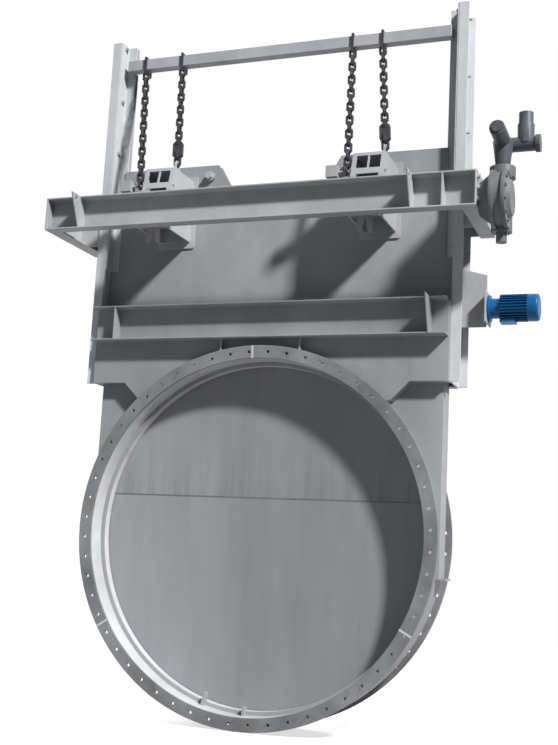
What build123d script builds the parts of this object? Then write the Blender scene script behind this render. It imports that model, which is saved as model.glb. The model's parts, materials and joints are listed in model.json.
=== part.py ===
"""Guillotine slide-gate damper for a round duct, closed, with its lifting frame and electric drive.

X runs across the gate, Y along the flow (front face at Y = 0) and Z up. The origin is the centre of
the front flange's bolt circle, on that flange's front face.
"""
import os
from math import sqrt

from build123d import *

os.makedirs("parts", exist_ok=True)

# Duct flanges
BORE = 2000.0
FLANGE_W = 75.0
BOLT_SET = 37.5
BOLT_COUNT = 56
BOLT_HOLE = 18.0
FLANGE_T = 16.0
FACE_TO_FACE = 400.0
STUB_T = 8.0

# Housing round the blade
HOUSING_SIDE = 60.0
HOUSING_D = 140.0
HOUSING_OVER = 100.0
LEDGE_DROP = 200.0
PLATE_T = 10.0
RIM_T = 8.0
SEAT_W = 22.0
SEAT_GAP = 6.0

# Blade
BLADE_T = 12.0
BLADE_CLEAR = 7.0
BLADE_OVER = 30.0
REST_W = 240.0
REST_GAP = 0.3

# Columns, guides and bonnet
COLUMN_SET = 35.0
COLUMN_D = 220.0
COLUMN_FLANGE = 59.0
COLUMN_T = 9.0
COLUMN_OVER = 158.0
GUIDE_RISE = 264.0
GUIDE_LEG = 65.0
GUIDE_T = 8.0
GUIDE_GAP = 6.0
GUIDE_SET = 2.0
BONNET_EDGE = 10.0
NOTCH_RISE = 358.0
EAR_H = 300.0
EAR_IN = 395.0
NOTCH_IN = 225.0
EAR_BOSS_IN = 50.0
EAR_BOSS_DROP = 75.0
EAR_BOSS_D = 62.0
EAR_BOSS_H = 18.0

# Hood and gland boxes over the bonnet foot
HOOD_STEP = 28.0
HOOD_DROP = 230.0
HOOD_CUT_SET = 214.0
HOOD_CUT_DROP = 106.0
GLAND_RISE = 20.0
GLAND_H = 208.0
GLAND_D = 87.0
GLAND_T = 8.0
GLAND_END = 5.0
GLAND_LUG_SET = 101.0
GLAND_LUG_REACH = 95.0
GLAND_STIFFENER_SET = 150.0
RIB_SPREAD = 486.0
RIB_T = 10.0

# Tie bar between the column heads
TIE_H = 70.0
TIE_D = 60.0
TIE_WALL = 5.0
TIE_RISE = 692.0
TIE_SET = 22.0
TIE_LAP = 20.0
CLEAT_T = 12.0

# Drive beam and cross members
BEAM_REACH = 405.0
BEAM_FLANGE = 75.0
BEAM_H = 196.0
BEAM_RISE = 146.0
BEAM_T = 9.0
FRAME_SET = 131.0
LUG_LEFT_SET = 215.0
LUG_RIGHT_SET = 344.0
STIFFENER_SET = 173.0
LUG_REACH = 92.0
LUG_HOLE = 26.0
TIE_PLATE_T = 12.0

# Drive brackets on the ears
BRACKET_X = 650.0
BRACKET_W = 190.0
BRACKET_T = 10.0
BRACKET_D = 283.0
BRACKET_LEAN = 42.0
BRACKET_LEAN_H = 150.0
BRACKET_RISE = 22.0
BRACKET_DROP = 102.0
BASE_W = 246.0
BASE_HANG = 26.0
BASE_DROP = 54.0
FORK_W = 84.0
FORK_H = 86.0
FORK_NOTCH = 44.0
WINDOW_H = 80.0
WINDOW_W = 66.0
SLOT_H = 22.0
PIN_D = 14.0
PIN_DROP = 112.0
PIN_SET = 18.0
PIN_REACH = 145.0
PIN_HEAD = 66.0
BEARING_T = 16.0
EYE_T = 10.0
EYE_H = 62.0
EYE_HOLE = 30.0
EYE_X = 72.0
EYE_SET = 73.0

# Drive shaft, gearbox and actuator
SHAFT_D = 50.0
SHAFT_RISE = 60.0
GEARBOX_FOOT_D = 176.0
GEARBOX_CONE_D = 276.0
GEARBOX_CONE_L = 66.0
GEARBOX_D = 308.0
GEARBOX_FLANGE_T = 20.0
GEARBOX_BARREL_D = 280.0
GEARBOX_BARREL_L = 44.0
GEARBOX_COVER_D = 226.0
GEARBOX_COVER_T = 22.0
COVER_BOLT_D = 22.0
COVER_BOLT_H = 10.0
COVER_BOLT_COUNT = 7
COVER_BOLT_FROM = 75.0
COVER_BOLT_STEP = 30.0
WORM_D = 112.0
WORM_X = 102.0
WORM_Y = 92.0
WORM_DROP = 158.0
WORM_STUB_D = 58.0
WORM_STUB_H = 54.0
COLLAR_D = 140.0
COLLAR_H = 62.0
COLLAR_RISE = 204.0
COLLAR_NECK_D = 84.0
COLLAR_NECK_H = 10.0
NECK_FOOT_D = 78.0
NECK_D = 112.0
NECK_H = 138.0
HEAD_D = 84.0
HEAD_FRONT = 215.0
HEAD_BACK = 110.0
HEAD_CAP_D = 54.0
HEAD_CAP_L = 14.0
MOTOR_D = 80.0
MOTOR_SET = 52.0
MOTOR_L = 166.0
MOTOR_CAP_D = 96.0
MOTOR_CAP_L = 26.0
CONTROL_D = 92.0
CONTROL_SET = 54.0
CONTROL_H = 176.0
CONTROL_CAP_D = 80.0
CONTROL_CAP_H = 66.0
ACTUATOR_ROUND = 6.0

# Gearmotor on the right column
DRIVE_DROP = 30.0
DRIVE_PLATE_SET = 119.0
DRIVE_PLATE_T = 10.0
DRIVE_PLATE_W = 176.0
DRIVE_GUSSET_DOWN = 104.0
DRIVE_GUSSET_UP = 240.0
DRIVE_GUSSET_SLOPE = 48.0
DRIVE_FLANGE_D = 150.0
DRIVE_FLANGE_T = 14.0
DRIVE_GEAR_D = 112.0
DRIVE_GEAR_L = 54.0
DRIVE_MOTOR_D = 126.0
DRIVE_MOTOR_L = 150.0
DRIVE_FIN_D = 150.0
DRIVE_FIN_T = 4.0
DRIVE_FIN_COUNT = 28
DRIVE_COWL_D = 152.0
DRIVE_COWL_L = 62.0
DRIVE_COWL_ROUND = 14.0
DRIVE_BOX_L = 84.0
DRIVE_BOX_W = 80.0
DRIVE_BOX_H = 20.0

# Chains
LINK_PITCH = 48.0
LINK_W = 46.0
LINK_WIRE = 13.0
LINK_CORNER = 14.0
LINK_BITE = 1.0
LOOP_SLACK = 5.0
CHAIN_EASE = 2.2
CLUTCH_L = 120.0
CLUTCH_W = 62.0
CLUTCH_T = 26.0
CLUTCH_CORNER = 16.0
PIN_CHAIN_SET = 28.0
PIN_CHAIN_LEAN = {"left": -272.0, "right": -197.0}
EYE_CHAIN_LEAN = {"left": -17.0, "right": -13.0}

MID = FACE_TO_FACE / 2
BORE_R = BORE / 2
SEAT_R = BORE_R - SEAT_W
STUB_R = BORE_R + STUB_T
FLANGE_R = BORE_R + FLANGE_W
BOLT_R = BORE_R + BOLT_SET
HOUSING_R = BORE_R + HOUSING_SIDE
HOUSING_TOP = BORE_R + HOUSING_OVER
HOUSING_FRONT = MID - HOUSING_D / 2
BLADE_R = HOUSING_R - RIM_T - BLADE_CLEAR
BLADE_FRONT = MID - BLADE_T / 2
BLADE_TOP = HOUSING_TOP + BLADE_OVER
COLUMN_IN = HOUSING_R + COLUMN_SET
COLUMN_FRONT = MID - COLUMN_D / 2
GUIDE_BACK = BLADE_FRONT - GUIDE_GAP
BONNET_BACK = GUIDE_BACK - GUIDE_T
BONNET_FRONT = BONNET_BACK - PLATE_T
BONNET_HALF = COLUMN_IN - GUIDE_LEG + BONNET_EDGE
HOOD_FRONT = COLUMN_FRONT - HOOD_STEP
HOOD_FOOT = HOUSING_TOP - HOOD_DROP
HOOD_CUT_IN = COLUMN_IN - HOOD_CUT_SET
GLAND_FRONT = HOOD_FRONT - GLAND_D
GLAND_FOOT = HOUSING_TOP + GLAND_RISE
GLAND_TOP = GLAND_FOOT + GLAND_H
GUIDE_FOOT = GLAND_TOP + GUIDE_RISE
NOTCH_FLOOR = GUIDE_FOOT + NOTCH_RISE
EAR_TOP = NOTCH_FLOOR + EAR_H
TIE_Z = EAR_TOP + TIE_RISE
TIE_TOP = TIE_Z + TIE_H / 2
TIE_HALF = COLUMN_IN - GUIDE_LEG + TIE_LAP
TIE_FRONT = COLUMN_FRONT + TIE_SET
COLUMN_TOP = TIE_Z + COLUMN_OVER
LOOP_FOOT = TIE_Z - TIE_H / 2 - LINK_WIRE - LOOP_SLACK
BEAM_FOOT = GUIDE_FOOT + BEAM_RISE
BEAM_TOP = BEAM_FOOT + BEAM_H
BEAM_FRONT = COLUMN_FRONT - BEAM_REACH
BEAM_WEB = BEAM_FRONT + BEAM_FLANGE
FRAME_HALF = COLUMN_IN + COLUMN_FLANGE + FRAME_SET
BRACKET_FRONT = BONNET_FRONT - BRACKET_D
BRACKET_FOOT = BEAM_FOOT + BRACKET_RISE
BRACKET_TOP = EAR_TOP - BRACKET_DROP
PIN_Y = BRACKET_FRONT - BRACKET_LEAN + BRACKET_T + PIN_SET
PIN_Z = BRACKET_TOP - PIN_DROP
EYE_Y = BRACKET_FRONT + EYE_SET
SHAFT_Y = (BRACKET_FRONT - BRACKET_LEAN + BEAM_WEB) / 2
SHAFT_Z = BEAM_FOOT + SHAFT_RISE
GEARBOX_X = FRAME_HALF + BEAM_T
DRIVE_Z = GLAND_TOP - DRIVE_DROP
DRIVE_PLATE_X = COLUMN_IN + COLUMN_FLANGE + DRIVE_PLATE_SET
SIDES = {"left": -1, "right": 1}
ENDS = {"front": 1, "rear": -1}


def across(y):
    """Plane facing the front at depth y, drawn in X and Z; a negative extrusion runs towards the back."""
    return Plane.XZ.offset(-y)


def keep(builder, label):
    """Name a finished sub-part and write its STEP file."""
    builder.part.label = label
    export_step(builder.part, f"parts/{label}.step")


def keep_ends(label, make):
    """Make a front sub-part and its mirror image about the blade's plane."""
    for end, sign in ENDS.items():
        with BuildPart() as whole:
            add(make() if sign > 0 else make().mirror(Plane.XZ.offset(-MID)))
        keep(whole, f"{end}_{label}")


def keep_sides(label, make):
    """Make a right-hand sub-part and its mirror image about the gate's centre plane."""
    for side, sign in SIDES.items():
        with BuildPart() as whole:
            add(make() if sign > 0 else make().mirror(Plane.YZ))
        keep(whole, f"{side}_{label}")


def ring(inner_r, outer_r, start, end):
    """Round ring about the duct's axis between two depths."""
    with BuildPart() as made:
        with BuildSketch(across(start)):
            Circle(outer_r)
            Circle(inner_r, mode=Mode.SUBTRACT)
        extrude(amount=start - end)
    return made.part


def flange():
    """Flat ring flange with its bolt holes astride the centre lines."""
    with BuildPart() as made:
        with BuildSketch(across(0)):
            Circle(FLANGE_R)
            Circle(BORE_R, mode=Mode.SUBTRACT)
            with PolarLocations(BOLT_R, BOLT_COUNT, start_angle=90 + 180 / BOLT_COUNT):
                Circle(BOLT_HOLE / 2, mode=Mode.SUBTRACT)
        extrude(amount=-FLANGE_T)
    return made.part


def stub():
    """Duct wall from the flange back to the housing plate."""
    return ring(BORE_R, STUB_R, FLANGE_T, HOUSING_FRONT)


def seat():
    """Sealing ring behind the housing plate, just clear of the blade."""
    return ring(SEAT_R, BORE_R, HOUSING_FRONT + PLATE_T, BLADE_FRONT - SEAT_GAP)


def housing_outline(inset):
    """Draw the housing's outline, round below and straight-sided above, drawn in by an inset."""
    Circle(HOUSING_R - inset)
    with Locations((0, (HOUSING_TOP - LEDGE_DROP + inset) / 2)):
        Rectangle(2 * (HOUSING_R - inset), HOUSING_TOP + LEDGE_DROP - inset)


def housing_plate():
    """Flat housing wall with the bore cut out and a shelf at the top that meets the bonnet."""
    with BuildPart() as made:
        with BuildSketch(across(HOUSING_FRONT)):
            housing_outline(0)
            Circle(SEAT_R, mode=Mode.SUBTRACT)
        extrude(amount=-PLATE_T)
        with BuildSketch(across(HOUSING_FRONT + PLATE_T)):
            with Locations((0, HOUSING_TOP - PLATE_T / 2)):
                Rectangle(2 * (HOUSING_R - RIM_T), PLATE_T)
        extrude(amount=HOUSING_FRONT + PLATE_T - BONNET_BACK)
    return made.part


def bonnet_plate():
    """Wall over the raised blade, with two ears on top and a sloped notch between them."""
    with BuildPart() as made:
        with BuildSketch(across(BONNET_FRONT)):
            with BuildLine():
                Polyline(
                    (0, HOUSING_TOP),
                    (COLUMN_IN, HOUSING_TOP),
                    (COLUMN_IN, GUIDE_FOOT),
                    (BONNET_HALF, GUIDE_FOOT),
                    (BONNET_HALF, EAR_TOP),
                    (EAR_IN, EAR_TOP),
                    (NOTCH_IN, NOTCH_FLOOR),
                    (0, NOTCH_FLOOR),
                )
                mirror(about=Plane.YZ)
            make_face()
        extrude(amount=-PLATE_T)
        with BuildSketch(across(BONNET_FRONT)):
            for sign in SIDES.values():
                with Locations((sign * (EAR_IN + EAR_BOSS_IN), EAR_TOP - EAR_BOSS_DROP)):
                    Circle(EAR_BOSS_D / 2)
        extrude(amount=EAR_BOSS_H)
    return made.part


def hood():
    """Box over the bonnet's foot, open at the back, cut to the duct wall below."""
    with BuildPart() as made:
        with BuildSketch(across(HOOD_FRONT)) as outline:
            with BuildLine():
                Polyline(
                    (0, GLAND_TOP),
                    (COLUMN_IN, GLAND_TOP),
                    (COLUMN_IN, HOOD_FOOT),
                    (HOOD_CUT_IN, HOOD_FOOT),
                    (HOOD_CUT_IN - HOOD_CUT_DROP, HOOD_FOOT - HOOD_CUT_DROP),
                    (0, HOOD_FOOT - HOOD_CUT_DROP),
                )
                mirror(about=Plane.YZ)
            make_face()
        extrude(amount=HOOD_FRONT - HOUSING_FRONT)
        with BuildSketch(across(HOOD_FRONT + PLATE_T)):
            add(outline.sketch.moved(Location((0, PLATE_T, 0))))
            offset(amount=-PLATE_T, mode=Mode.REPLACE)
        extrude(amount=HOOD_FRONT + PLATE_T - HOUSING_FRONT, mode=Mode.SUBTRACT)
        with BuildSketch(across(HOUSING_FRONT)):
            with Locations((0, GLAND_TOP - PLATE_T / 2)):
                Rectangle(2 * COLUMN_IN, PLATE_T)
        extrude(amount=HOUSING_FRONT - BONNET_FRONT)
        with BuildSketch(across(HOOD_FRONT)):
            Circle(STUB_R)
        extrude(amount=HOOD_FRONT - HOUSING_FRONT, mode=Mode.SUBTRACT)
    return made.part


def gland():
    """Gland channel across the hood, open outwards, with a stiffener and two ribs down to the duct wall."""
    width = 2 * (COLUMN_IN - GLAND_END)
    height = GLAND_TOP - GLAND_FOOT
    centre = (0, (GLAND_TOP + GLAND_FOOT) / 2)
    with BuildPart() as made:
        with BuildSketch(across(GLAND_FRONT)):
            with Locations(centre):
                Rectangle(width, height)
        extrude(amount=-GLAND_D)
        with BuildSketch(across(GLAND_FRONT)):
            with Locations(centre):
                Rectangle(width, height - 2 * GLAND_T)
        extrude(amount=GLAND_T - GLAND_D, mode=Mode.SUBTRACT)
        with BuildSketch(Plane.YZ.offset(GLAND_STIFFENER_SET - width / 2)):
            with Locations((GLAND_FRONT, GLAND_FOOT)):
                Rectangle(GLAND_D, height, align=(Align.MIN, Align.MIN))
        extrude(amount=GLAND_T)
        with BuildSketch(across(FLANGE_T)):
            with Locations((-RIB_SPREAD / 2, BORE_R), (RIB_SPREAD / 2, BORE_R)):
                Rectangle(RIB_T, GLAND_FOOT - BORE_R, align=(Align.CENTER, Align.MIN))
            Circle(STUB_R, mode=Mode.SUBTRACT)
        extrude(amount=FLANGE_T - HOOD_FRONT)
    return made.part


def column():
    """Channel column with its web towards the blade and its flanges turned out."""
    with BuildPart() as made:
        with BuildSketch(Plane.XY.offset(HOOD_FOOT)):
            with Locations((COLUMN_IN, MID)):
                Rectangle(COLUMN_FLANGE, COLUMN_D, align=(Align.MIN, Align.CENTER))
            with Locations((COLUMN_IN + COLUMN_T, MID)):
                Rectangle(
                    COLUMN_FLANGE - COLUMN_T,
                    COLUMN_D - 2 * COLUMN_T,
                    align=(Align.MIN, Align.CENTER),
                    mode=Mode.SUBTRACT,
                )
        extrude(amount=COLUMN_TOP - HOOD_FOOT)
    return made.part


def guide():
    """Angle on the column's web whose outstanding leg guides the blade's edge."""
    start = COLUMN_FRONT + GUIDE_SET
    with BuildPart() as made:
        with BuildSketch(Plane.XY.offset(GUIDE_FOOT)):
            with Locations((COLUMN_IN, GUIDE_BACK)):
                Rectangle(GUIDE_T, GUIDE_BACK - start, align=(Align.MAX, Align.MAX))
                Rectangle(GUIDE_LEG, GUIDE_T, align=(Align.MAX, Align.MAX))
        extrude(amount=COLUMN_TOP - GUIDE_FOOT)
    return made.part


def cross_member():
    """Channel from the drive beam back along the column, with plates that tie it to the column's web."""
    back = COLUMN_FRONT + COLUMN_D
    middle = BEAM_FOOT + BEAM_H / 2
    with BuildPart() as made:
        with BuildSketch(across(BEAM_FRONT)):
            with Locations((FRAME_HALF + BEAM_T, middle)):
                Rectangle(BEAM_FLANGE + BEAM_T, BEAM_H, align=(Align.MAX, Align.CENTER))
            with Locations((FRAME_HALF, middle)):
                Rectangle(
                    BEAM_FLANGE, BEAM_H - 2 * BEAM_T, align=(Align.MAX, Align.CENTER), mode=Mode.SUBTRACT
                )
        extrude(amount=BEAM_FRONT - back)
        with BuildSketch(across(BEAM_FRONT)):
            with Locations((FRAME_HALF, middle)):
                Rectangle(BEAM_FLANGE, BEAM_H, align=(Align.MAX, Align.CENTER))
        extrude(amount=-BEAM_FLANGE, mode=Mode.SUBTRACT)
        for start in (COLUMN_FRONT + COLUMN_T, back - COLUMN_T - TIE_PLATE_T):
            with BuildSketch(across(start)):
                with Locations((COLUMN_IN + COLUMN_T, middle)):
                    Rectangle(
                        FRAME_HALF - COLUMN_IN - COLUMN_T,
                        BEAM_H - 2 * BEAM_T,
                        align=(Align.MIN, Align.CENTER),
                    )
            extrude(amount=-TIE_PLATE_T)
        with BuildSketch(Plane.YZ.offset(FRAME_HALF)):
            with Locations((SHAFT_Y, SHAFT_Z)):
                Circle(SHAFT_D / 2)
        extrude(amount=BEAM_T, mode=Mode.SUBTRACT)
    return made.part


def bracket_outline():
    """Draw the bracket's side: level top, front that leans out below the top, foot behind the beam."""
    base = BONNET_FRONT - BRACKET_T
    Polygon(
        (base, BRACKET_FOOT),
        (base, BRACKET_TOP),
        (BRACKET_FRONT, BRACKET_TOP),
        (BRACKET_FRONT - BRACKET_LEAN, BRACKET_TOP - BRACKET_LEAN_H),
        (BRACKET_FRONT - BRACKET_LEAN, BRACKET_FOOT),
        align=None,
    )


def bracket():
    """Welded drive bracket: a box open below on a base plate, with windows, pin, bearing plates, fork and eye."""
    front = BRACKET_FRONT - BRACKET_LEAN
    with BuildPart() as made:
        with BuildSketch(Plane.YZ.offset(-BRACKET_W / 2)):
            bracket_outline()
        extrude(amount=BRACKET_W)
        with BuildSketch(Plane.YZ.offset(BRACKET_T - BRACKET_W / 2)):
            bracket_outline()
            offset(amount=-BRACKET_T, mode=Mode.REPLACE)
            with Locations((front + BRACKET_T, BRACKET_FOOT)):
                Rectangle(BONNET_FRONT - front - 3 * BRACKET_T, 2 * BRACKET_T, align=(Align.MIN, Align.MIN))
        extrude(amount=BRACKET_W - 2 * BRACKET_T, mode=Mode.SUBTRACT)
        with BuildSketch(across(BONNET_FRONT - BRACKET_T)):
            with Locations((0, BRACKET_FOOT - BRACKET_RISE - BASE_HANG + BRACKET_T)):
                Rectangle(BASE_W, EAR_TOP - BASE_DROP - BEAM_FOOT, align=(Align.CENTER, Align.MIN))
            fillet(vertices(), BRACKET_T)
        extrude(amount=-BRACKET_T)
        with BuildSketch(across(front)):
            with Locations((0, BRACKET_TOP - 2 * BRACKET_T - WINDOW_H / 2)):
                with GridLocations(WINDOW_W + BRACKET_T, WINDOW_H, 2, 1):
                    Rectangle(WINDOW_W, WINDOW_H)
            with Locations((0, PIN_Z - PIN_D - SLOT_H)):
                Rectangle(2 * WINDOW_W, SLOT_H)
        extrude(amount=-BRACKET_LEAN - 2 * BRACKET_T, mode=Mode.SUBTRACT)
        with BuildSketch(Plane.YZ.offset(-BRACKET_W / 2 - PIN_REACH)):
            with Locations((PIN_Y, PIN_Z)):
                Circle(PIN_D / 2)
        extrude(amount=BRACKET_W + PIN_REACH + BRACKET_T)
        with BuildSketch(Plane.YZ.offset(-BRACKET_W / 2 - PIN_REACH)):
            with Locations((PIN_Y, PIN_Z)):
                Rectangle(PIN_HEAD, PIN_HEAD)
        extrude(amount=PIN_HEAD)
        for sign in SIDES.values():
            with BuildSketch(Plane.YZ.offset(sign * (BRACKET_W - BEARING_T) / 2 - BEARING_T / 2)):
                with Locations((front, SHAFT_Z)):
                    Rectangle(front - BEAM_WEB, BEAM_H - 2 * SHAFT_RISE, align=(Align.MAX, Align.CENTER))
                with Locations((SHAFT_Y, SHAFT_Z)):
                    Circle(SHAFT_D / 2 + BRACKET_T)
                    Circle(SHAFT_D / 2, mode=Mode.SUBTRACT)
            extrude(amount=BEARING_T)
        with BuildSketch(across(front)):
            with Locations((0, BRACKET_FOOT)):
                Rectangle(FORK_W, FORK_H, align=(Align.CENTER, Align.MAX))
            with Locations((0, BRACKET_FOOT - FORK_H)):
                Triangle(a=FORK_NOTCH, b=FORK_H, c=FORK_H, align=(Align.CENTER, Align.MIN), mode=Mode.SUBTRACT)
        extrude(amount=-BRACKET_T)
        with BuildSketch(Plane.YZ.offset(EYE_X - EYE_T / 2)):
            with Locations((EYE_Y, BRACKET_TOP + EYE_H / 2)):
                Circle(EYE_H / 2)
                Rectangle(EYE_H, EYE_H / 2, align=(Align.CENTER, Align.MAX))
                Circle(EYE_HOLE / 2, mode=Mode.SUBTRACT)
        extrude(amount=EYE_T)
    return made.part


for name, make in {"flange": flange, "duct_stub": stub, "seat_ring": seat}.items():
    keep_ends(name, make)

for name, make in {"housing_plate": housing_plate, "bonnet_plate": bonnet_plate}.items():
    keep_ends(name, make)

keep_ends("hood", hood)

with BuildPart() as front_gland_channel:
    add(gland())
    with BuildSketch(Plane.YZ.offset(COLUMN_IN - GLAND_END - GLAND_LUG_SET)):
        with BuildLine():
            Polyline(
                (HOOD_FRONT, GLAND_FOOT),
                (HOOD_FRONT, GLAND_TOP),
                (GLAND_FRONT - GLAND_LUG_REACH, GLAND_TOP),
                (GLAND_FRONT, GLAND_FOOT),
                close=True,
            )
        make_face()
    extrude(amount=GLAND_T)
keep(front_gland_channel, "front_gland_channel")

with BuildPart() as rear_gland_channel:
    add(gland().mirror(Plane.XZ.offset(-MID)))
keep(rear_gland_channel, "rear_gland_channel")

with BuildPart() as housing_rim:
    with BuildSketch(across(HOUSING_FRONT + PLATE_T)):
        housing_outline(0)
        Circle(HOUSING_R - RIM_T, mode=Mode.SUBTRACT)
        with Locations((0, RIM_T - LEDGE_DROP)):
            Rectangle(
                2 * (HOUSING_R - RIM_T),
                HOUSING_TOP + LEDGE_DROP - RIM_T,
                align=(Align.CENTER, Align.MIN),
                mode=Mode.SUBTRACT,
            )
    extrude(amount=2 * PLATE_T - HOUSING_D)
    with BuildSketch(across(BLADE_FRONT - SEAT_GAP)):
        Circle(HOUSING_R - RIM_T / 2)
        Circle(BLADE_R + REST_GAP, mode=Mode.SUBTRACT)
        with Locations((0, -HOUSING_R)):
            Rectangle(REST_W, HOUSING_R, mode=Mode.INTERSECT)
    extrude(amount=-BLADE_T - 2 * SEAT_GAP)
keep(housing_rim, "housing_rim")

with BuildPart() as blade:
    with BuildSketch(across(BLADE_FRONT)):
        Circle(BLADE_R)
        Rectangle(2 * BLADE_R, BLADE_TOP, align=(Align.CENTER, Align.MIN))
    extrude(amount=-BLADE_T)
keep(blade, "blade")

keep_sides("column", column)
keep_sides("front_guide", guide)
keep_sides("rear_guide", lambda: guide().mirror(Plane.XZ.offset(-MID)))

with BuildPart() as tie_bar:
    with BuildSketch(Plane.YZ.offset(-TIE_HALF)):
        with Locations((TIE_FRONT + TIE_D / 2, TIE_Z)):
            Rectangle(TIE_D, TIE_H)
            Rectangle(TIE_D - 2 * TIE_WALL, TIE_H - 2 * TIE_WALL, mode=Mode.SUBTRACT)
    extrude(amount=2 * TIE_HALF)
    for start in (-TIE_HALF, TIE_HALF - CLEAT_T):
        with BuildSketch(Plane.YZ.offset(start)):
            with Locations((TIE_FRONT, TIE_Z)):
                Rectangle(GUIDE_BACK - GUIDE_T - TIE_FRONT, TIE_H, align=(Align.MIN, Align.CENTER))
        extrude(amount=CLEAT_T)
keep(tie_bar, "top_tie_bar")

with BuildPart() as drive_beam:
    with BuildSketch(Plane.YZ.offset(-FRAME_HALF)):
        with Locations((BEAM_FRONT, BEAM_FOOT)):
            Rectangle(BEAM_FLANGE, BEAM_H, align=(Align.MIN, Align.MIN))
        with Locations((BEAM_FRONT, BEAM_FOOT + BEAM_T)):
            Rectangle(
                BEAM_FLANGE - BEAM_T, BEAM_H - 2 * BEAM_T, align=(Align.MIN, Align.MIN), mode=Mode.SUBTRACT
            )
    extrude(amount=2 * FRAME_HALF)
    for x in (LUG_LEFT_SET - FRAME_HALF, FRAME_HALF - LUG_RIGHT_SET):
        with BuildSketch(Plane.YZ.offset(x - BEAM_T / 2)):
            with BuildLine():
                Polyline(
                    (BEAM_WEB - BEAM_T, BEAM_FOOT + BEAM_T),
                    (BEAM_WEB - BEAM_T, BEAM_TOP - BEAM_T),
                    (BEAM_FRONT, BEAM_TOP - BEAM_T),
                    (BEAM_FRONT, BEAM_TOP),
                    (BEAM_FRONT - LUG_REACH, BEAM_TOP),
                    (BEAM_FRONT, BEAM_FOOT + BEAM_T),
                    close=True,
                )
            make_face()
            with Locations((BEAM_FRONT - LUG_REACH / 2, BEAM_TOP - LUG_HOLE)):
                Circle(LUG_HOLE / 2, mode=Mode.SUBTRACT)
        extrude(amount=BEAM_T)
    with BuildSketch(Plane.YZ.offset(FRAME_HALF - STIFFENER_SET - BEAM_T / 2)):
        with Locations((BEAM_FRONT, BEAM_FOOT + BEAM_T)):
            Rectangle(BEAM_FLANGE - BEAM_T, BEAM_H - 2 * BEAM_T, align=(Align.MIN, Align.MIN))
    extrude(amount=BEAM_T)
keep(drive_beam, "drive_beam")

with BuildPart() as left_cross_member:
    add(cross_member().mirror(Plane.YZ))
keep(left_cross_member, "left_cross_member")

with BuildPart() as right_cross_member:
    add(cross_member())
keep(right_cross_member, "right_cross_member")

for side, sign in SIDES.items():
    with BuildPart() as placed_bracket:
        add(bracket().moved(Location((sign * BRACKET_X, 0, 0))))
    keep(placed_bracket, f"{side}_drive_bracket")

with BuildPart() as drive_shaft:
    with BuildSketch(Plane.YZ.offset(-BRACKET_X - BRACKET_W / 2)):
        with Locations((SHAFT_Y, SHAFT_Z)):
            Circle(SHAFT_D / 2)
    extrude(amount=BRACKET_X + BRACKET_W / 2 + GEARBOX_X)
keep(drive_shaft, "drive_shaft")

COVER_X = GEARBOX_X + GEARBOX_CONE_L + 2 * GEARBOX_FLANGE_T + GEARBOX_BARREL_L
WORM_AT = (GEARBOX_X + WORM_X, SHAFT_Y + WORM_Y)
COLLAR_TOP = SHAFT_Z + COLLAR_RISE

with BuildPart() as gearbox:
    with BuildSketch(Plane.XZ.offset(-SHAFT_Y)):
        with BuildLine():
            Polyline(
                (GEARBOX_X, SHAFT_Z),
                (GEARBOX_X, SHAFT_Z + GEARBOX_FOOT_D / 2),
                (GEARBOX_X + GEARBOX_CONE_L, SHAFT_Z + GEARBOX_CONE_D / 2),
                (GEARBOX_X + GEARBOX_CONE_L, SHAFT_Z + GEARBOX_D / 2),
                (GEARBOX_X + GEARBOX_CONE_L + GEARBOX_FLANGE_T, SHAFT_Z + GEARBOX_D / 2),
                (GEARBOX_X + GEARBOX_CONE_L + GEARBOX_FLANGE_T, SHAFT_Z + GEARBOX_BARREL_D / 2),
                (COVER_X - GEARBOX_FLANGE_T, SHAFT_Z + GEARBOX_BARREL_D / 2),
                (COVER_X - GEARBOX_FLANGE_T, SHAFT_Z + GEARBOX_D / 2),
                (COVER_X, SHAFT_Z + GEARBOX_D / 2),
                (COVER_X, SHAFT_Z + GEARBOX_COVER_D / 2),
                (COVER_X + GEARBOX_COVER_T, SHAFT_Z + GEARBOX_COVER_D / 2 - GEARBOX_COVER_T),
                (COVER_X + GEARBOX_COVER_T, SHAFT_Z),
                close=True,
            )
        make_face()
    revolve(axis=Axis((GEARBOX_X, SHAFT_Y, SHAFT_Z), (1, 0, 0)))
    with BuildSketch(Plane.YZ.offset(COVER_X)):
        with Locations((SHAFT_Y, SHAFT_Z)):
            for index in range(COVER_BOLT_COUNT):
                angle = COVER_BOLT_FROM + COVER_BOLT_STEP * index
                with PolarLocations((GEARBOX_D + GEARBOX_COVER_D) / 4, 1, start_angle=angle):
                    RegularPolygon(COVER_BOLT_D / 2, 6)
    extrude(amount=COVER_BOLT_H)
    for diameter, foot, top in (
        (WORM_D, SHAFT_Z - WORM_DROP, COLLAR_TOP - COLLAR_H),
        (WORM_STUB_D, SHAFT_Z - WORM_DROP - WORM_STUB_H, SHAFT_Z - WORM_DROP),
        (COLLAR_D, COLLAR_TOP - COLLAR_H, COLLAR_TOP),
        (COLLAR_NECK_D, COLLAR_TOP, COLLAR_TOP + COLLAR_NECK_H),
    ):
        with BuildSketch(Plane.XY.offset(foot)):
            with Locations(WORM_AT):
                Circle(diameter / 2)
        extrude(amount=top - foot)
keep(gearbox, "gearbox")

NECK_FOOT = COLLAR_TOP + COLLAR_NECK_H
HEAD_Z = NECK_FOOT + NECK_H
MOTOR_Y = WORM_AT[1] + HEAD_BACK - MOTOR_SET
CONTROL_AT = (WORM_AT[0] + MOTOR_L - CONTROL_SET, MOTOR_Y)

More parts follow.
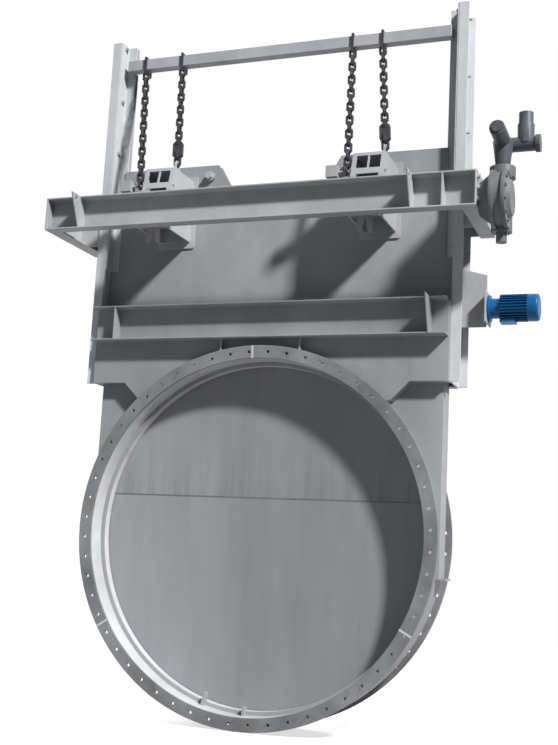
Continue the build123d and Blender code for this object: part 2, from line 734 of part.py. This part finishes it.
with BuildPart() as actuator:
    with BuildSketch(Plane.XY.offset(NECK_FOOT)):
        with Locations(WORM_AT):
            Circle(NECK_FOOT_D / 2)
    with BuildSketch(Plane.XY.offset(HEAD_Z)):
        with Locations(WORM_AT):
            Circle(NECK_D / 2)
    loft()
    with BuildSketch(across(WORM_AT[1] - HEAD_FRONT)):
        with Locations((WORM_AT[0], HEAD_Z)):
            Circle(HEAD_D / 2)
    extrude(amount=-HEAD_FRONT - HEAD_BACK)
    fillet(actuator.edges().sort_by(Axis.Y)[0], ACTUATOR_ROUND)
    with BuildSketch(across(WORM_AT[1] - HEAD_FRONT - HEAD_CAP_L)):
        with Locations((WORM_AT[0], HEAD_Z)):
            Circle(HEAD_CAP_D / 2)
    extrude(amount=-HEAD_CAP_L)
    for diameter, start, end in (
        (MOTOR_D, WORM_AT[0], WORM_AT[0] + MOTOR_L),
        (MOTOR_CAP_D, WORM_AT[0] + MOTOR_L, WORM_AT[0] + MOTOR_L + MOTOR_CAP_L),
    ):
        with BuildSketch(Plane.YZ.offset(start)):
            with Locations((MOTOR_Y, HEAD_Z)):
                Circle(diameter / 2)
        extrude(amount=end - start)
    for diameter, foot, top in (
        (CONTROL_D, HEAD_Z, HEAD_Z + CONTROL_H - CONTROL_CAP_H),
        (CONTROL_CAP_D, HEAD_Z + CONTROL_H - CONTROL_CAP_H, HEAD_Z + CONTROL_H),
    ):
        with BuildSketch(Plane.XY.offset(foot)):
            with Locations(CONTROL_AT):
                Circle(diameter / 2)
        extrude(amount=top - foot)
keep(actuator, "actuator")

with BuildPart() as motor_bracket:
    with BuildSketch(across(MID - DRIVE_PLATE_T / 2)):
        with BuildLine():
            Polyline(
                (COLUMN_IN + COLUMN_T, DRIVE_Z - DRIVE_GUSSET_DOWN),
                (DRIVE_PLATE_X, DRIVE_Z - DRIVE_GUSSET_DOWN),
                (DRIVE_PLATE_X, DRIVE_Z + DRIVE_GUSSET_UP - DRIVE_GUSSET_SLOPE),
                (COLUMN_IN + COLUMN_T, DRIVE_Z + DRIVE_GUSSET_UP),
                close=True,
            )
        make_face()
    extrude(amount=-DRIVE_PLATE_T)
    with BuildSketch(Plane.YZ.offset(DRIVE_PLATE_X)):
        with Locations((MID, DRIVE_Z)):
            Rectangle(DRIVE_PLATE_W, DRIVE_PLATE_W)
    extrude(amount=DRIVE_PLATE_T)
keep(motor_bracket, "motor_bracket")

GEAR_X = DRIVE_PLATE_X + DRIVE_PLATE_T
STATOR_X = GEAR_X + DRIVE_FLANGE_T + DRIVE_GEAR_L
COWL_X = STATOR_X + DRIVE_MOTOR_L

with BuildPart() as gearmotor:
    for diameter, start, length in (
        (DRIVE_FLANGE_D, GEAR_X, DRIVE_FLANGE_T),
        (DRIVE_GEAR_D, GEAR_X + DRIVE_FLANGE_T, DRIVE_GEAR_L),
        (DRIVE_MOTOR_D, STATOR_X, DRIVE_MOTOR_L),
        (DRIVE_COWL_D, COWL_X, DRIVE_COWL_L),
    ):
        with BuildSketch(Plane.YZ.offset(start)):
            with Locations((MID, DRIVE_Z)):
                Circle(diameter / 2)
        extrude(amount=length)
    fillet(gearmotor.edges().sort_by(Axis.X)[-1], DRIVE_COWL_ROUND)
    with BuildSketch(Plane.YZ.offset(STATOR_X)):
        with Locations((MID, DRIVE_Z)):
            with PolarLocations((DRIVE_FIN_D + DRIVE_MOTOR_D) / 4, DRIVE_FIN_COUNT):
                Rectangle((DRIVE_FIN_D - DRIVE_MOTOR_D) / 2 + DRIVE_FIN_T, DRIVE_FIN_T)
    extrude(amount=DRIVE_MOTOR_L)
    with BuildSketch(Plane.XY.offset(DRIVE_Z - DRIVE_FIN_D / 2 - DRIVE_BOX_H / 2)):
        with Locations((STATOR_X, MID)):
            Rectangle(DRIVE_BOX_L, DRIVE_BOX_W, align=(Align.MIN, Align.CENTER))
    extrude(amount=DRIVE_BOX_H)
keep(gearmotor, "gearmotor")


def link(plane, pitch):
    """One chain link, a flat loop of square wire with cut corners, lying in a plane."""
    with BuildPart() as made:
        with BuildSketch(plane):
            Rectangle(pitch + 2 * LINK_WIRE, LINK_W)
            chamfer(vertices(), LINK_CORNER)
            offset(amount=-LINK_WIRE, mode=Mode.SUBTRACT)
        extrude(amount=LINK_WIRE / 2, both=True)
    return made.part


def chain(top, anchor, reach, turned, clutched):
    """Taut chain from its loop on the tie bar to an anchor, its last crown a reach beyond the anchor.

    turned is 0 where the last link lies across the gate and 1 where it lies along the flow.
    """
    along = (Vector(*anchor) - Vector(*top)).normalized()
    level = along.cross(Vector(1, 0, 0)).normalized()
    faces = (level, along.cross(level))
    start = Vector(*top) - along * (LINK_WIRE / 2 - LINK_BITE)
    foot = Vector(*anchor) + along * reach
    length = (foot - start).length
    count = 2 * round((length / LINK_PITCH - 1 - turned) / 2) + 1 + turned
    pitch = (length + (count - 1) * LINK_BITE) / count
    with BuildPart() as made:
        for index in range(count):
            centre = start + along * (pitch / 2 + (pitch - LINK_BITE) * index)
            add(link(Plane(centre, x_dir=along, z_dir=faces[index % 2]), pitch))
        if clutched:
            centre = foot - along * (pitch + CLUTCH_L / 2)
            with BuildSketch(Plane(centre, x_dir=along, z_dir=level)):
                Rectangle(CLUTCH_L, CLUTCH_W)
                chamfer(vertices(), CLUTCH_CORNER)
            extrude(amount=CLUTCH_T / 2, both=True)
        with BuildSketch(Plane.YZ.offset(top[0] - LINK_WIRE / 2)):
            with Locations((TIE_FRONT + TIE_D / 2, (TIE_TOP + LOOP_FOOT) / 2)):
                Rectangle(TIE_D + 2 * LINK_WIRE, TIE_TOP - LOOP_FOOT + 2 * LINK_WIRE)
                Rectangle(TIE_D, TIE_TOP - LOOP_FOOT, mode=Mode.SUBTRACT)
        extrude(amount=LINK_WIRE)
    return made.part


LOOP_Y = TIE_FRONT + LINK_WIRE
LOOP_Z = LOOP_FOOT - LINK_WIRE / 2
PIN_HANG = PIN_D / 2 + CHAIN_EASE
EYE_HANG = (sqrt(2) - 1) / 2 * LINK_WIRE - EYE_HOLE / 2 + CHAIN_EASE

for side, sign in SIDES.items():
    pin = (sign * BRACKET_X - BRACKET_W / 2 - PIN_CHAIN_SET, PIN_Y, PIN_Z)
    with BuildPart() as pin_chain:
        add(chain((sign * BRACKET_X + PIN_CHAIN_LEAN[side], LOOP_Y, LOOP_Z), pin, PIN_HANG, 1, False))
    keep(pin_chain, f"{side}_pin_chain")
    eye = (sign * BRACKET_X + EYE_X, EYE_Y, BRACKET_TOP + EYE_H / 2)
    with BuildPart() as eye_chain:
        add(chain((sign * BRACKET_X + EYE_CHAIN_LEAN[side], LOOP_Y, LOOP_Z), eye, EYE_HANG, 0, True))
    keep(eye_chain, f"{side}_eye_chain")
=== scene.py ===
"""Looks of the guillotine slide gate: finishes, seams, small fixings, floor, light and camera.

Lengths are in metres and places are in the CAD's frame: X across the gate, Y along the flow, Z up.
Angles are in degrees, and those round the duct run from +X towards +Z.
"""

import json
import math

import bmesh
import bpy
from mathutils import Matrix, Vector


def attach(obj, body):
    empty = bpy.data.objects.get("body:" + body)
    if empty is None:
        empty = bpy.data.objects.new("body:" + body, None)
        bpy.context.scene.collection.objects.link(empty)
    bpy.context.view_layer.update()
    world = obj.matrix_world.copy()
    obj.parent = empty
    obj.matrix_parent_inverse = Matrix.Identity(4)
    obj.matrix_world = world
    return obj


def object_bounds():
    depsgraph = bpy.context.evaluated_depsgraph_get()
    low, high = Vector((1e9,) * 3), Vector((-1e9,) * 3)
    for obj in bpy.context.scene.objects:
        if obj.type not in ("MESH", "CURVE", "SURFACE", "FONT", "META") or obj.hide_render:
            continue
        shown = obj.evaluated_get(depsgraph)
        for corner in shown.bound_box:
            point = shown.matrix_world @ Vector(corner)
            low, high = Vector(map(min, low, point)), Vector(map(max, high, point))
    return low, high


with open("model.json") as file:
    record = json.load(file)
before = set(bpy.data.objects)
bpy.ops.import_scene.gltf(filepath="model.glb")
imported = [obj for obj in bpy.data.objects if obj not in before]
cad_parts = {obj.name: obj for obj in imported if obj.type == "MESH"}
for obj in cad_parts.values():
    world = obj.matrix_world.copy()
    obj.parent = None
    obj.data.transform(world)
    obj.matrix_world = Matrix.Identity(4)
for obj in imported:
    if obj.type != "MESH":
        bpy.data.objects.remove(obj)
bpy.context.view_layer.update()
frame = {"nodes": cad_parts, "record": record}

# The camera is a fit to points of the photograph. Its sensor and lens are in millimetres.
CAMERA_AT = (2.357, -5.983, -0.149)
CAMERA_TURN = (99.46, -2.95, 19.89)
CAMERA_SENSOR = 36.0
CAMERA_LENS = 54.9
CAMERA_REACH = 1000.0

# The key lamp stands in the direction that the photograph's shadows give.
LAMPS = {
    "key": dict(at=(25.2, -18.0, 26.2), size=3.4, watts=29000),
    "fill": dict(at=(-8.0, -7.0, 2.0), size=6.0, watts=30),
    "rear": dict(at=(-7.0, 9.0, 5.0), size=5.0, watts=1500),
}
LAMPS_AIM = (0.0, 0.0, 1.0)
WORLD_STRENGTH = 0.065
WORLD_TINT = (0.5, 0.75, 1.0, 1.0)
WHITE = (1.0, 1.0, 1.0, 1.0)

FLOOR_GAP = 0.002
FLOOR_R = 9.0
FLOOR_CLEAR_R = 3.0
FLOOR_SIDES = 96
FLOOR_COLOUR = (0.35, 0.35, 0.35, 1.0)
FLOOR_ROUGH = 0.9
FLOOR_GLOW = 0.68

# A finish's tone varies around its base by wear. Scale sets how fine that is, streak draws it out upright.
LOOKS = {
    "duct_steel": dict(base=(0.5, 0.505, 0.52), rough=0.52, scale=9.0, wear=0.18),
    "flange_steel": dict(base=(0.185, 0.189, 0.2), rough=0.52, scale=9.0, wear=0.42),
    "housing_steel": dict(base=(0.28, 0.285, 0.3), rough=0.55, scale=6.0, wear=0.22, streak=0.4),
    "blade_steel": dict(base=(0.252, 0.256, 0.27), rough=0.55, scale=5.0, wear=0.26, streak=0.8),
    "bonnet_steel": dict(base=(0.3, 0.305, 0.32), rough=0.55, scale=5.0, wear=0.24, streak=0.5),
    "frame_steel": dict(base=(0.37, 0.375, 0.39), rough=0.5, scale=10.0, wear=0.2, streak=0.2),
    "column_steel": dict(base=(0.52, 0.527, 0.545), rough=0.5, scale=10.0, wear=0.2, streak=0.6),
    "chain_steel": dict(base=(0.045, 0.045, 0.05), rough=0.5, scale=40.0, wear=0.3, metal=0.3),
    "gearbox_paint": dict(base=(0.14, 0.145, 0.155), rough=0.5, scale=25.0, wear=0.22),
    "actuator_paint": dict(base=(0.08, 0.085, 0.097), rough=0.45, scale=25.0, wear=0.22),
    "motor_paint": dict(base=(0.005, 0.095, 0.25), rough=0.38, scale=25.0, wear=0.16),
    "weld_steel": dict(base=(0.15, 0.155, 0.163), rough=0.6, scale=30.0, wear=0.25),
}
DULL_METAL = 0.05
GLOSS = 0.2
CLOUD_FINENESS = 0.25
CLOUD_DETAIL = 8
CLOUD_ROUGH = 0.62
CLOUD_ENDS = (0.3, 0.7)
GRAIN_FINENESS = 8
GRAIN_DETAIL = 4
ROUGH_SPREAD = (-0.08, 0.1)
BUMP_STRENGTH = 0.08
BUMP_DEPTH = 0.002

# Nodes whose finish isn't the one named after their material slot.
NODE_LOOKS = {
    "front_flange": "flange_steel",
    "rear_flange": "flange_steel",
    "front_bonnet_plate": "bonnet_steel",
    "rear_bonnet_plate": "bonnet_steel",
    "front_hood": "housing_steel",
    "rear_hood": "housing_steel",
    "front_gland_channel": "housing_steel",
    "rear_gland_channel": "housing_steel",
    "front_housing_plate": "housing_steel",
    "rear_housing_plate": "housing_steel",
    "housing_rim": "housing_steel",
    "left_column": "column_steel",
    "right_column": "column_steel",
    "left_front_guide": "column_steel",
    "right_front_guide": "column_steel",
    "left_rear_guide": "column_steel",
    "right_rear_guide": "column_steel",
}

# Rounding of the nodes' edges, by material slot.
EDGE_ROUND = {
    "duct_steel": 0.0015,
    "blade_steel": 0.0015,
    "frame_steel": 0.002,
    "chain_steel": 0.004,
    "gearbox_paint": 0.004,
    "actuator_paint": 0.004,
    "motor_paint": 0.0015,
}
EDGE_ANGLE = 35.0
EDGE_STEPS = 3
WELD_REACH = 0.00002

# The weld across the blade, and the dirt above it.
BLADE_FRONT = 0.194
SEAM_Z = 0.21
SEAM_HALF = 0.99
SEAM_W = 0.008
SEAM_H = 0.001
STAIN_H = 0.30
STAIN_DEPTH = 0.45
STAIN_COLOUR = (0.1, 0.1, 0.105, 1.0)
STAIN_DRAWN = (14, 14, 1.2)
STAIN_FINENESS = 1.6
STAIN_DETAIL = 5
STAIN_EDGES = (0.45, 0.75)

# The seams between the flanges' segments.
FLANGE_IN = 1.0
FLANGE_OUT = 1.075
FLANGE_BACK = 0.4
FLANGE_SEAM_W = 0.012
FLANGE_SEAM_ANGLES = (92.0, -28.0, -148.0)

# The clips at the duct's foot, and a small plate on each side of the housing.
CLIP_R = 1.001
CLIP_H = (0.075, 0.05)
CLIP_T = 0.014
CLIP_Y = (0.085, 0.125)
CLIP_ANGLES = (-105.0, -90.5)
SIDE_PLATE_X = (1.060, 1.096)
SIDE_PLATE_Y = (0.140, 0.260)
SIDE_PLATE_Z = (-0.205, -0.193)

# Bolts: washer and head are shares of the head's width, and so is the stud's thickness.
BOLT_D = 0.026
WASHER_OVER = 1.3
WASHER_THIN = 0.11
WASHER_SIDES = 20
HEAD_THICK = 0.46
HEAD_SIDES = 6
STUD_SLIM = 0.6
STUD_SIDES = 12
STUD_H = 0.02
GUIDE_BOLT_X = 1.087
WEB_BOLT_X = 1.104
GUIDE_BOLT_Y = (0.139, 0.261)
GUIDE_BOLT_Z = (3.072, 2.713, 2.365, 2.010, 1.659)
EAR_BOLT_D = 0.046
EAR_BOLT_X = 0.445
EAR_BOLT_Y = (0.152, 0.248)
EAR_BOLT_Z = 2.175
END_BOLT_X = 1.294
END_BOLT_Y = -0.285
END_BOLT_Z = (1.901, 1.841, 1.780)


def add_node(tree, kind, sockets=None, **settings):
    """Add a shader node with its settings and the values of its unlinked sockets."""
    made = tree.nodes.new(kind)
    for name, value in settings.items():
        setattr(made, name, value)
    for socket, value in (sockets or {}).items():
        made.inputs[socket].default_value = value
    return made


def combine(tree, operation, first, *others):
    """Take several outputs together by one operation and give the result's output."""
    result = first
    for other in others:
        both = add_node(tree, "ShaderNodeMath", operation=operation)
        tree.links.new(result, both.inputs[0])
        tree.links.new(other, both.inputs[1])
        result = both.outputs["Value"]
    return result


def steel(name, base, rough, scale, wear, streak=0.0, metal=DULL_METAL):
    """Weathered metal: cloudy tone drawn out into streaks, fine grain in the roughness and a light bump."""
    made = bpy.data.materials.new(name)
    made.use_nodes = True
    tree, links = made.node_tree, made.node_tree.links
    shader = tree.nodes["Principled BSDF"]
    shader.inputs["Metallic"].default_value = metal
    shader.inputs["Specular IOR Level"].default_value = GLOSS

    place = add_node(tree, "ShaderNodeTexCoord")
    drawn = add_node(tree, "ShaderNodeMapping", {"Scale": (1, 1, 1 - streak)})
    links.new(place.outputs["Object"], drawn.inputs["Vector"])
    cloud = add_node(
        tree,
        "ShaderNodeTexNoise",
        {"Scale": scale * CLOUD_FINENESS, "Detail": CLOUD_DETAIL, "Roughness": CLOUD_ROUGH},
    )
    links.new(drawn.outputs["Vector"], cloud.inputs["Vector"])
    tone = add_node(tree, "ShaderNodeValToRGB")
    for stop, position, share in zip(tone.color_ramp.elements, CLOUD_ENDS, (1 - wear, 1 + wear)):
        stop.position = position
        stop.color = (*[share * c for c in base], 1)
    links.new(cloud.outputs["Fac"], tone.inputs["Fac"])
    links.new(tone.outputs["Color"], shader.inputs["Base Color"])

    grain = add_node(
        tree, "ShaderNodeTexNoise", {"Scale": scale * GRAIN_FINENESS, "Detail": GRAIN_DETAIL}
    )
    links.new(place.outputs["Object"], grain.inputs["Vector"])
    smooth, dull = ROUGH_SPREAD
    spread = add_node(tree, "ShaderNodeMapRange", {"To Min": rough + smooth, "To Max": rough + dull})
    links.new(grain.outputs["Fac"], spread.inputs["Value"])
    links.new(spread.outputs["Result"], shader.inputs["Roughness"])
    bump = add_node(tree, "ShaderNodeBump", {"Strength": BUMP_STRENGTH, "Distance": BUMP_DEPTH})
    links.new(grain.outputs["Fac"], bump.inputs["Height"])
    links.new(bump.outputs["Normal"], shader.inputs["Normal"])
    return made


def stain(made, foot, height, depth):
    """Darken a finish in fine upright streaks that start at a level and die out above it."""
    tree, links = made.node_tree, made.node_tree.links
    shader = tree.nodes["Principled BSDF"]
    clean = shader.inputs["Base Color"].links[0].from_socket

    place = add_node(tree, "ShaderNodeTexCoord")
    level = add_node(tree, "ShaderNodeSeparateXYZ")
    links.new(place.outputs["Object"], level.inputs["Vector"])
    above = add_node(tree, "ShaderNodeMath", {1: foot}, operation="GREATER_THAN")
    links.new(level.outputs["Z"], above.inputs[0])
    fade = add_node(
        tree,
        "ShaderNodeMapRange",
        {"From Min": foot, "From Max": foot + height, "To Min": depth, "To Max": 0},
    )
    links.new(level.outputs["Z"], fade.inputs["Value"])

    drawn = add_node(tree, "ShaderNodeMapping", {"Scale": STAIN_DRAWN})
    links.new(place.outputs["Object"], drawn.inputs["Vector"])
    runs = add_node(tree, "ShaderNodeTexNoise", {"Scale": STAIN_FINENESS, "Detail": STAIN_DETAIL})
    links.new(drawn.outputs["Vector"], runs.inputs["Vector"])
    faint, full = STAIN_EDGES
    sharp = add_node(tree, "ShaderNodeMapRange", {"From Min": faint, "From Max": full})
    links.new(runs.outputs["Fac"], sharp.inputs["Value"])

    amount = combine(
        tree, "MULTIPLY", above.outputs["Value"], fade.outputs["Result"], sharp.outputs["Result"]
    )
    mix = add_node(tree, "ShaderNodeMix", {"B": STAIN_COLOUR}, data_type="RGBA")
    links.new(amount, mix.inputs["Factor"])
    links.new(clean, mix.inputs["A"])
    links.new(mix.outputs["Result"], shader.inputs["Base Color"])


looks = {name: steel(name, **look) for name, look in LOOKS.items()}
stain(looks["blade_steel"], SEAM_Z, STAIN_H, STAIN_DEPTH)


def dress_nodes():
    """Give each CAD node its finish and slightly rounded edges."""
    for part in frame["record"]["subparts"]:
        node = frame["nodes"][part["node"]]
        node.data.materials.clear()
        node.data.materials.append(looks[NODE_LOOKS.get(part["node"], part["material_slot"])])
        weld = node.modifiers.new("weld", "WELD")
        weld.merge_threshold = WELD_REACH
        edge = node.modifiers.new("edge", "BEVEL")
        edge.width = EDGE_ROUND[part["material_slot"]]
        edge.segments = EDGE_STEPS
        edge.limit_method = "ANGLE"
        edge.angle_limit = math.radians(EDGE_ANGLE)
        edge.harden_normals = True


def as_mesh(name, shape):
    """Turn a finished bmesh into a named mesh."""
    mesh = bpy.data.meshes.new(name)
    shape.to_mesh(mesh)
    shape.free()
    return mesh


def piece(name, shape, look, body):
    """Add a finished bmesh to the scene with a look, riding on a CAD body."""
    made = bpy.data.objects.new(name, as_mesh(name, shape))
    bpy.context.scene.collection.objects.link(made)
    made.data.materials.append(looks[look])
    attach(made, body)


def add_block(shape, lo, hi, turn=0.0):
    """Add a box between two corners to a bmesh, turned by an angle about the duct's axis."""
    lo, hi = Vector(lo), Vector(hi)
    spin = Matrix.Rotation(-math.radians(turn), 4, "Y")
    place = spin @ Matrix.Translation((lo + hi) / 2) @ Matrix.Diagonal((*(hi - lo), 1))
    bmesh.ops.create_cube(shape, size=1, matrix=place)


def add_bolt(shape, at, axis, width, stud=0.0):
    """Add a washer and hexagon to a bmesh, standing on a point along an axis, and a stud end on a nut."""
    turn = Vector(axis).to_track_quat("Z", "Y").to_matrix().to_4x4()
    washer = (WASHER_OVER * width, WASHER_THIN * width, WASHER_SIDES, 0.0)
    head = (width, HEAD_THICK * width, HEAD_SIDES, WASHER_THIN * width)
    rounds = [washer, head]
    if stud:
        rounds.append((STUD_SLIM * width, stud, STUD_SIDES, (WASHER_THIN + HEAD_THICK) * width))
    for diameter, height, sides, base in rounds:
        lift = Matrix.Translation((0, 0, base + height / 2))
        bmesh.ops.create_cone(
            shape,
            cap_ends=True,
            segments=sides,
            radius1=diameter / 2,
            radius2=diameter / 2,
            depth=height,
            matrix=Matrix.Translation(at) @ turn @ lift,
        )


def blade_seam():
    """Weld seam across the blade's front."""
    seam = bmesh.new()
    add_block(
        seam,
        (-SEAM_HALF, BLADE_FRONT - SEAM_H, SEAM_Z - SEAM_W / 2),
        (SEAM_HALF, BLADE_FRONT, SEAM_Z + SEAM_W / 2),
    )
    piece("blade_seam", seam, "weld_steel", "blade")


def flange_seams():
    """Weld seams across both flanges' faces, where their segments meet."""
    seams = bmesh.new()
    for face in (-SEAM_H, FLANGE_BACK):
        for angle in FLANGE_SEAM_ANGLES:
            add_block(
                seams,
                (FLANGE_IN, face, -FLANGE_SEAM_W / 2),
                (FLANGE_OUT, face + SEAM_H, FLANGE_SEAM_W / 2),
                angle,
            )
    piece("flange_seams", seams, "column_steel", "frame")


def seat_clips():
    """Clips that stand up inside the duct at its foot, and the plates on the housing's sides."""
    clips = bmesh.new()
    for angle, height in zip(CLIP_ANGLES, CLIP_H):
        add_block(
            clips,
            (CLIP_R - height, CLIP_Y[0], -CLIP_T / 2),
            (CLIP_R, CLIP_Y[1], CLIP_T / 2),
            angle,
        )
    # The left plate is the right one turned half round, so its levels change sign before the turn.
    for turn, sign in ((0, 1), (180, -1)):
        low, high = sorted(sign * z for z in SIDE_PLATE_Z)
        add_block(
            clips,
            (SIDE_PLATE_X[0], SIDE_PLATE_Y[0], low),
            (SIDE_PLATE_X[1], SIDE_PLATE_Y[1], high),
            turn,
        )
    piece("seat_clips", clips, "housing_steel", "frame")


def frame_bolts():
    """Bolts through guides and column webs, on the bonnet's ears and on the drive beam's right end."""
    bolts = bmesh.new()
    for side in (-1, 1):
        for z in GUIDE_BOLT_Z:
            for y in GUIDE_BOLT_Y:
                add_bolt(bolts, (side * GUIDE_BOLT_X, y, z), (-side, 0, 0), BOLT_D)
                add_bolt(bolts, (side * WEB_BOLT_X, y, z), (side, 0, 0), BOLT_D, STUD_H)
        for y, way in zip(EAR_BOLT_Y, (-1, 1)):
            add_bolt(bolts, (side * EAR_BOLT_X, y, EAR_BOLT_Z), (0, way, 0), EAR_BOLT_D)
    for z in END_BOLT_Z:
        add_bolt(bolts, (END_BOLT_X, END_BOLT_Y, z), (1, 0, 0), BOLT_D)
    piece("frame_bolts", bolts, "frame_steel", "frame")


def seen_rays(tree):
    """Give one for rays that show the background: to the camera, mirrored in metal and through glass."""
    path = add_node(tree, "ShaderNodeLightPath")
    rays = ("Is Camera Ray", "Is Glossy Ray", "Is Transmission Ray")
    return combine(tree, "MAXIMUM", *[path.outputs[ray] for ray in rays])


def pale_floor():
    """Matt pale floor that fades into the white background towards its edge."""
    made = bpy.data.materials.new("floor_pale")
    made.use_nodes = True
    tree, links = made.node_tree, made.node_tree.links
    shader = tree.nodes["Principled BSDF"]
    shader.inputs["Base Color"].default_value = FLOOR_COLOUR
    shader.inputs["Roughness"].default_value = FLOOR_ROUGH
    shader.inputs["Emission Color"].default_value = WHITE
    glow = add_node(tree, "ShaderNodeMath", {1: FLOOR_GLOW}, operation="MULTIPLY")
    links.new(seen_rays(tree), glow.inputs[0])
    links.new(glow.outputs["Value"], shader.inputs["Emission Strength"])

    place = add_node(tree, "ShaderNodeTexCoord")
    reach = add_node(tree, "ShaderNodeVectorMath", operation="LENGTH")
    links.new(place.outputs["Object"], reach.inputs[0])
    fade = add_node(
        tree,
        "ShaderNodeMapRange",
        {"From Min": FLOOR_CLEAR_R, "From Max": FLOOR_R, "To Min": 1, "To Max": 0},
    )
    links.new(reach.outputs["Value"], fade.inputs["Value"])
    links.new(fade.outputs["Result"], shader.inputs["Alpha"])
    return made


def add_floor():
    """Round floor just under the object."""
    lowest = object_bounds()[0].z
    disc = bmesh.new()
    bmesh.ops.create_circle(disc, cap_ends=True, segments=FLOOR_SIDES, radius=FLOOR_R)
    floor = bpy.data.objects.new("floor", as_mesh("floor", disc))
    floor.location.z = lowest - FLOOR_GAP
    floor.data.materials.append(pale_floor())
    bpy.context.scene.collection.objects.link(floor)


def add_lamp(name, at, size, watts):
    """Soft square area lamp aimed at the object."""
    data = bpy.data.lights.new(name, "AREA")
    data.size = size
    data.energy = watts
    made = bpy.data.objects.new(name, data)
    made.location = at
    made.rotation_euler = (Vector(LAMPS_AIM) - Vector(at)).to_track_quat("-Z", "Y").to_euler()
    bpy.context.scene.collection.objects.link(made)


def add_world():
    """World that is white where it is seen, and dimmer and tinted as a light."""
    world = bpy.data.worlds.new("studio")
    world.use_nodes = True
    tree, links = world.node_tree, world.node_tree.links
    sky = tree.nodes["Background"]
    shown = seen_rays(tree)
    shade = add_node(tree, "ShaderNodeMix", {"A": WORLD_TINT, "B": WHITE}, data_type="RGBA")
    links.new(shown, shade.inputs["Factor"])
    links.new(shade.outputs["Result"], sky.inputs["Color"])
    level = add_node(tree, "ShaderNodeMapRange", {"To Min": WORLD_STRENGTH, "To Max": 1})
    links.new(shown, level.inputs["Value"])
    links.new(level.outputs["Result"], sky.inputs["Strength"])
    bpy.context.scene.world = world


def add_camera():
    """Camera at the photograph's viewing angle."""
    data = bpy.data.cameras.new("camera")
    data.sensor_width = CAMERA_SENSOR
    data.lens = CAMERA_LENS
    data.clip_end = CAMERA_REACH
    camera = bpy.data.objects.new("camera", data)
    camera.location = CAMERA_AT
    camera.rotation_euler = [math.radians(a) for a in CAMERA_TURN]
    bpy.context.scene.collection.objects.link(camera)
    bpy.context.scene.camera = camera


dress_nodes()
blade_seam()
flange_seams()
seat_clips()
frame_bolts()
add_floor()
for lamp_name, lamp in LAMPS.items():
    add_lamp(lamp_name, **lamp)
add_world()
add_camera()
bpy.context.scene.view_settings.view_transform = "Standard"
